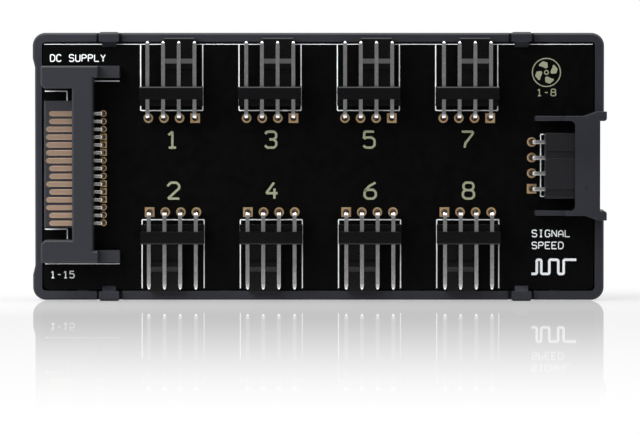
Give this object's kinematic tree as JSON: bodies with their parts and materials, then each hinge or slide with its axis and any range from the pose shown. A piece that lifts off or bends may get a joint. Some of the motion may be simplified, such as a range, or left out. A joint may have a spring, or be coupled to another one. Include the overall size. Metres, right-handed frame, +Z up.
{
  "type": "pc fan controller hub",
  "caption": "Slim fan hub: open plastic tray that snaps round a black circuit board with edge-facing fan headers, a side power plug and a framed control input",
  "frame": {"origin": "under the middle of the hub, on the surface that its lower long edge stands on", "axes": "+X along the hub from the power plug to the control input, +Y out of the plain back, +Z up"},
  "size_m": [0.093, 0.0132, 0.0437],
  "materials": {
    "tray_plastic": "dark grey moulded plastic with a fine eroded grain",
    "board_mask": "black solder mask on glass fibre board, satin",
    "header_plastic": "black moulded connector plastic, satin",
    "plug_plastic": "dark grey glass-filled connector plastic, matt",
    "pin_tin": "bright tin-plated square wire",
    "contact_gold": "thin gold over copper, slightly dull",
    "chip_epoxy": "black moulding compound",
    "chip_ceramic": "tan fired ceramic with tinned ends",
    "magnet_nickel": "nickel-plated disc"
  },
  "bodies": {
    "root": {"housing_tray": "tray_plastic", "circuit_board": "board_mask", "power_plug_housing": "plug_plastic", "power_plug_contacts": "contact_gold", "control_header": "header_plastic", "control_header_pins": "pin_tin", "buffer_chip": "chip_epoxy", "resettable_fuse": "chip_ceramic", "supply_capacitors": "chip_ceramic", "pull_up_resistors": "chip_ceramic", "back_magnets": "magnet_nickel", "fan_header_1": "header_plastic", "fan_header_1_pins": "pin_tin", "fan_header_2": "header_plastic", "fan_header_2_pins": "pin_tin", "fan_header_3": "header_plastic", "fan_header_3_pins": "pin_tin", "fan_header_4": "header_plastic", "fan_header_4_pins": "pin_tin", "fan_header_5": "header_plastic", "fan_header_5_pins": "pin_tin", "fan_header_6": "header_plastic", "fan_header_6_pins": "pin_tin", "fan_header_7": "header_plastic", "fan_header_7_pins": "pin_tin", "fan_header_8": "header_plastic", "fan_header_8_pins": "pin_tin"}
  },
  "joints": []
}
